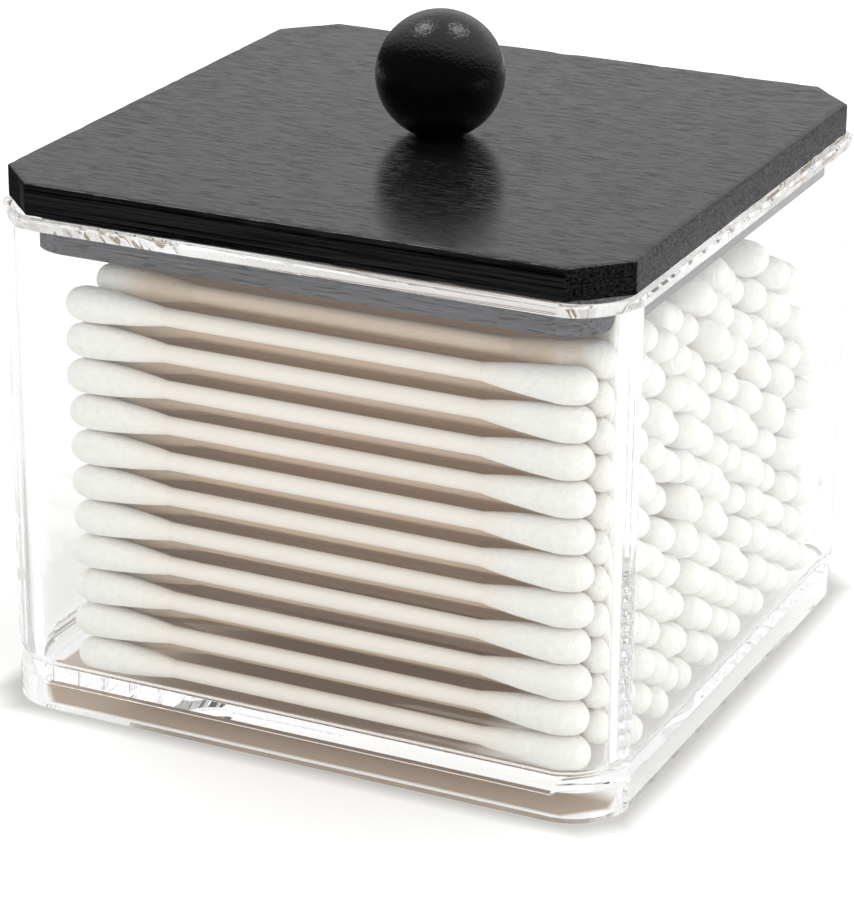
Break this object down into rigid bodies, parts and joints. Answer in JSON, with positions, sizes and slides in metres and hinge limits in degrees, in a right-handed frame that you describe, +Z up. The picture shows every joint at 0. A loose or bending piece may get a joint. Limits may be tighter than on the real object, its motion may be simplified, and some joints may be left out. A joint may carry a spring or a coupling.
{
  "type": "cotton swab holder",
  "caption": "Square clear plastic box with cut corners, filled with cotton swabs, under a black wooden lid board with a ball knob.",
  "frame": {"origin": "centre of the box's footprint, on the surface the box stands on", "axes": "+Z up; +X along the swabs and the lid's grain, towards the right side; -Y is the front, where the swabs are seen lengthwise"},
  "size_m": [0.09, 0.09, 0.0904],
  "materials": {
    "clear_plastic": "clear and polished",
    "black_wood": "black stain, satin, with open grain",
    "black_lacquer": "black lacquer, semi-gloss",
    "screw_steel": "plain",
    "stick_wood": "plain, unvarnished",
    "cotton": "matt, fine fibres"
  },
  "bodies": {
    "box": {"box": "clear_plastic", "swab_sticks_1": "stick_wood", "swab_sticks_2": "stick_wood", "swab_sticks_3": "stick_wood", "swab_sticks_4": "stick_wood", "swab_sticks_5": "stick_wood", "swab_sticks_6": "stick_wood", "left_buds_1": "cotton", "left_buds_2": "cotton", "left_buds_3": "cotton", "left_buds_4": "cotton", "left_buds_5": "cotton", "left_buds_6": "cotton", "right_buds_1": "cotton", "right_buds_2": "cotton", "right_buds_3": "cotton", "right_buds_4": "cotton", "right_buds_5": "cotton", "right_buds_6": "cotton"},
    "lid": {"lid_board": "black_wood", "lip_board": "black_wood", "knob": "black_lacquer", "knob_screw": "screw_steel"}
  },
  "joints": [
    {"name": "lid_lift", "type": "slide", "parent": "box", "child": "lid", "axis": [0, 0, 1], "range_m": [0, 0.06]}
  ]
}
